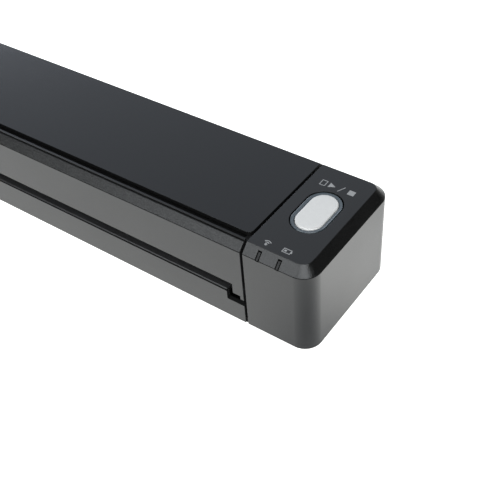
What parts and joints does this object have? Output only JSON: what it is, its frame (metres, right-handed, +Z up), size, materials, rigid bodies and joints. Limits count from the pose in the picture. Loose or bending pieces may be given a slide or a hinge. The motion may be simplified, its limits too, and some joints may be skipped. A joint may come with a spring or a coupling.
{
  "type": "portable document scanner",
  "caption": "Slim bar-shaped sheet-fed document scanner with a fold-down feed guide, hinged top cover, lift-up output guide and a lit start button at the right end.",
  "frame": {"origin": "middle of the footprint on the surface that the rubber feet stand on", "axes": "+X to the right seen from the front, along the length; the front faces -Y; +Z up"},
  "size_m": [0.273, 0.0474, 0.036],
  "materials": {
    "dark_plastic": "fine matt texture",
    "top_plastic": "smooth satin",
    "gloss_panel": "glossy",
    "trim_plastic": "grained matt texture",
    "white_key": "satin white",
    "light_guide": "clear bluish grey, translucent",
    "inner_plastic": "plain moulded",
    "white_pad": "matt white",
    "steel": "plain zinc plated",
    "bush_plastic": "natural acetal",
    "gear_plastic": "natural acetal",
    "roller_rubber": "ground rubber",
    "pinch_plastic": "smooth acetal",
    "sensor_plastic": "plain moulded",
    "clear_glass": "clear polished",
    "circuit_board": "green solder mask",
    "electronic_parts": "plain components",
    "battery_wrap": "blue wrap",
    "foot_rubber": "matt rubber"
  },
  "bodies": {
    "housing": {"base_housing": "dark_plastic", "right_end_housing": "dark_plastic", "left_end_housing": "dark_plastic", "button_panel": "top_plastic", "left_top_panel": "top_plastic", "button_light_ring": "light_guide", "wireless_light_pipe": "light_guide", "battery_light_pipe": "light_guide", "lower_paper_guide": "inner_plastic", "backing_pad": "white_pad", "right_side_plate": "steel", "left_side_plate": "steel", "gear_plate": "steel", "gear_posts": "steel", "feed_guide_pins": "steel", "cover_hinge_pins": "steel", "housing_screws": "steel", "board_posts": "steel", "usb_port": "steel", "drive_motor": "steel", "shaft_bushes": "bush_plastic", "main_board": "circuit_board", "control_board": "circuit_board", "port_board": "circuit_board", "rear_switch_board": "circuit_board", "button_switch": "electronic_parts", "rear_switches": "electronic_parts", "status_lamps": "electronic_parts", "wireless_module": "electronic_parts", "battery_pack": "battery_wrap", "rubber_feet": "foot_rubber"},
    "top_cover": {"top_cover": "dark_plastic", "cover_front_trim": "trim_plastic", "upper_paper_guide": "inner_plastic", "pinch_springs": "steel", "sensor_springs": "steel", "sensor_bar": "sensor_plastic", "sensor_glass": "clear_glass", "sensor_board": "circuit_board"},
    "output_guide": {"output_guide": "gloss_panel", "output_guide_pins": "steel"},
    "feed_guide": {"feed_guide": "dark_plastic"},
    "scan_button": {"scan_button": "white_key"},
    "wireless_switch": {"wireless_switch": "inner_plastic"},
    "pairing_button": {"pairing_button": "inner_plastic"},
    "paper_sensor_lever": {"paper_sensor_lever": "inner_plastic"},
    "feed_roller": {"feed_roller_shaft": "steel", "feed_rollers": "roller_rubber", "feed_gear": "gear_plastic"},
    "eject_roller": {"eject_roller_shaft": "steel", "eject_rollers": "roller_rubber", "eject_gear": "gear_plastic"},
    "front_pinch": {"front_pinch_shaft": "steel", "front_pinch_rollers": "pinch_plastic"},
    "rear_pinch": {"rear_pinch_shaft": "steel", "rear_pinch_rollers": "pinch_plastic"},
    "idler_gear": {"idler_gear": "gear_plastic"},
    "reduction_gear": {"reduction_gear": "gear_plastic"},
    "motor_pinion": {"motor_pinion": "gear_plastic"}
  },
  "joints": [
    {"name": "feed_guide_hinge", "type": "hinge", "parent": "housing", "child": "feed_guide", "pos_m": [0, -0.02075, 0.0143], "axis": [1, 0, 0], "range_deg": [0, 90]},
    {"name": "top_cover_hinge", "type": "hinge", "parent": "housing", "child": "top_cover", "pos_m": [0, 0.02065, 0.0188], "axis": [-1, 0, 0], "range_deg": [0, 80]},
    {"name": "output_guide_hinge", "type": "hinge", "parent": "top_cover", "child": "output_guide", "pos_m": [0, 0.01915, 0.033], "axis": [-1, 0, 0], "range_deg": [0, 90]},
    {"name": "scan_button_press", "type": "slide", "parent": "housing", "child": "scan_button", "axis": [0, 0, -1], "range_m": [0, 0.0008], "stiffness_N_per_m": 1500, "springref_m": -0.0003},
    {"name": "wireless_switch_slide", "type": "slide", "parent": "housing", "child": "wireless_switch", "axis": [1, 0, 0], "range_m": [0, 0.004]},
    {"name": "pairing_button_press", "type": "slide", "parent": "housing", "child": "pairing_button", "axis": [0, -1, 0], "range_m": [0, 0.0005], "stiffness_N_per_m": 1500, "springref_m": -0.0003},
    {"name": "paper_lever_swing", "type": "hinge", "parent": "housing", "child": "paper_sensor_lever", "pos_m": [0, -0.01815, 0.0087], "axis": [-1, 0, 0], "range_deg": [0, 43], "stiffness_Nm_per_rad": 0.00002, "springref_deg": -28.65},
    {"name": "motor_spin", "type": "hinge", "parent": "housing", "child": "motor_pinion", "pos_m": [0, 0.00483, 0.02426], "axis": [1, 0, 0], "continuous": true},
    {"name": "reduction_spin", "type": "hinge", "parent": "housing", "child": "reduction_gear", "pos_m": [0, -0.00553, 0.02426], "axis": [1, 0, 0], "continuous": true},
    {"name": "idler_spin", "type": "hinge", "parent": "housing", "child": "idler_gear", "pos_m": [0, -0.00025, 0.01512], "axis": [1, 0, 0], "continuous": true},
    {"name": "feed_roller_spin", "type": "hinge", "parent": "housing", "child": "feed_roller", "pos_m": [0, -0.01175, 0.0101], "axis": [1, 0, 0], "continuous": true},
    {"name": "eject_roller_spin", "type": "hinge", "parent": "housing", "child": "eject_roller", "pos_m": [0, 0.01125, 0.0101], "axis": [1, 0, 0], "continuous": true},
    {"name": "front_pinch_spin", "type": "hinge", "parent": "top_cover", "child": "front_pinch", "pos_m": [0, -0.01175, 0.0178], "axis": [1, 0, 0], "continuous": true},
    {"name": "rear_pinch_spin", "type": "hinge", "parent": "top_cover", "child": "rear_pinch", "pos_m": [0, 0.01125, 0.0178], "axis": [1, 0, 0], "continuous": true}
  ],
  "couplings": [
    {"joint": "eject_roller_spin", "follows": "feed_roller_spin", "ratio": 1},
    {"joint": "idler_spin", "follows": "feed_roller_spin", "ratio": -0.79167},
    {"joint": "reduction_spin", "follows": "feed_roller_spin", "ratio": 1.5833},
    {"joint": "motor_spin", "follows": "feed_roller_spin", "ratio": -5.5417},
    {"joint": "front_pinch_spin", "follows": "feed_roller_spin", "ratio": -1.0556},
    {"joint": "rear_pinch_spin", "follows": "feed_roller_spin", "ratio": -1.0556}
  ]
}
